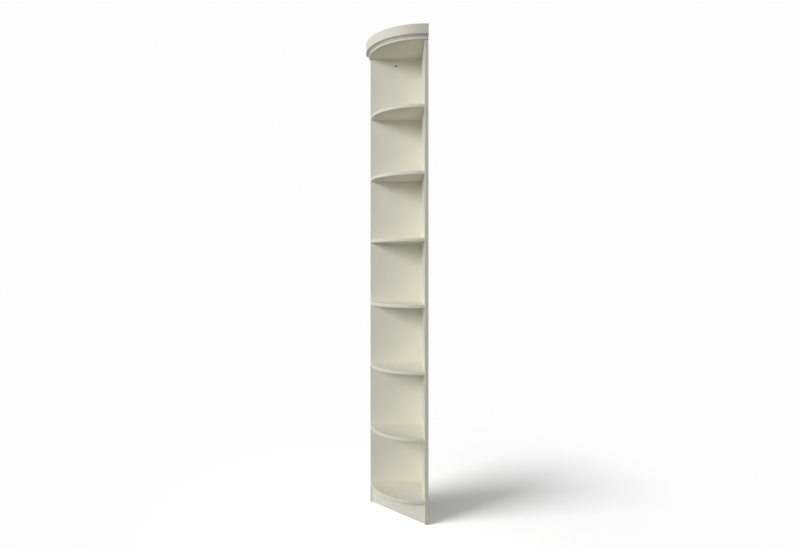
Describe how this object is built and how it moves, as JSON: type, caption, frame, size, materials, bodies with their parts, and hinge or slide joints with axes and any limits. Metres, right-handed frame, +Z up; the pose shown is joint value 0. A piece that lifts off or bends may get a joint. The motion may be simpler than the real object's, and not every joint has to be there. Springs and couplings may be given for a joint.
{
  "type": "corner shelf unit",
  "caption": "Tall slim open corner shelf unit: two boards at right angles, fixed quarter-round shelves, a diagonal plinth and a curved stepped cornice.",
  "frame": {"origin": "on the floor, at the upright edge where the two wall faces meet", "axes": "+Z up; +Y towards the back wall, whose face is Y = 0; +X towards the side wall, whose face is X = 0; the open side faces -X and -Y"},
  "size_m": [0.306, 0.306, 2.38],
  "materials": {
    "cream_lacquer": "satin lacquer on fibreboard",
    "pine": "planed, unfinished",
    "beech": "unfinished",
    "zinc_steel": "bright zinc plated"
  },
  "bodies": {
    "root": {"back_panel": "cream_lacquer", "side_panel": "cream_lacquer", "top_panel": "cream_lacquer", "cornice_moulding": "cream_lacquer", "shelf_1": "cream_lacquer", "shelf_2": "cream_lacquer", "shelf_3": "cream_lacquer", "shelf_4": "cream_lacquer", "shelf_5": "cream_lacquer", "shelf_6": "cream_lacquer", "bottom_shelf": "cream_lacquer", "plinth_board": "cream_lacquer", "plinth_batten": "pine", "back_shelf_screws": "zinc_steel", "side_shelf_screws": "zinc_steel", "corner_joint_screws": "zinc_steel", "top_panel_screws": "zinc_steel", "cornice_screws": "zinc_steel", "batten_shelf_screws": "zinc_steel", "batten_plinth_screws": "zinc_steel", "back_shelf_dowels": "beech", "side_shelf_dowels": "beech", "corner_joint_dowels": "beech", "top_panel_dowels": "beech"}
  },
  "joints": []
}
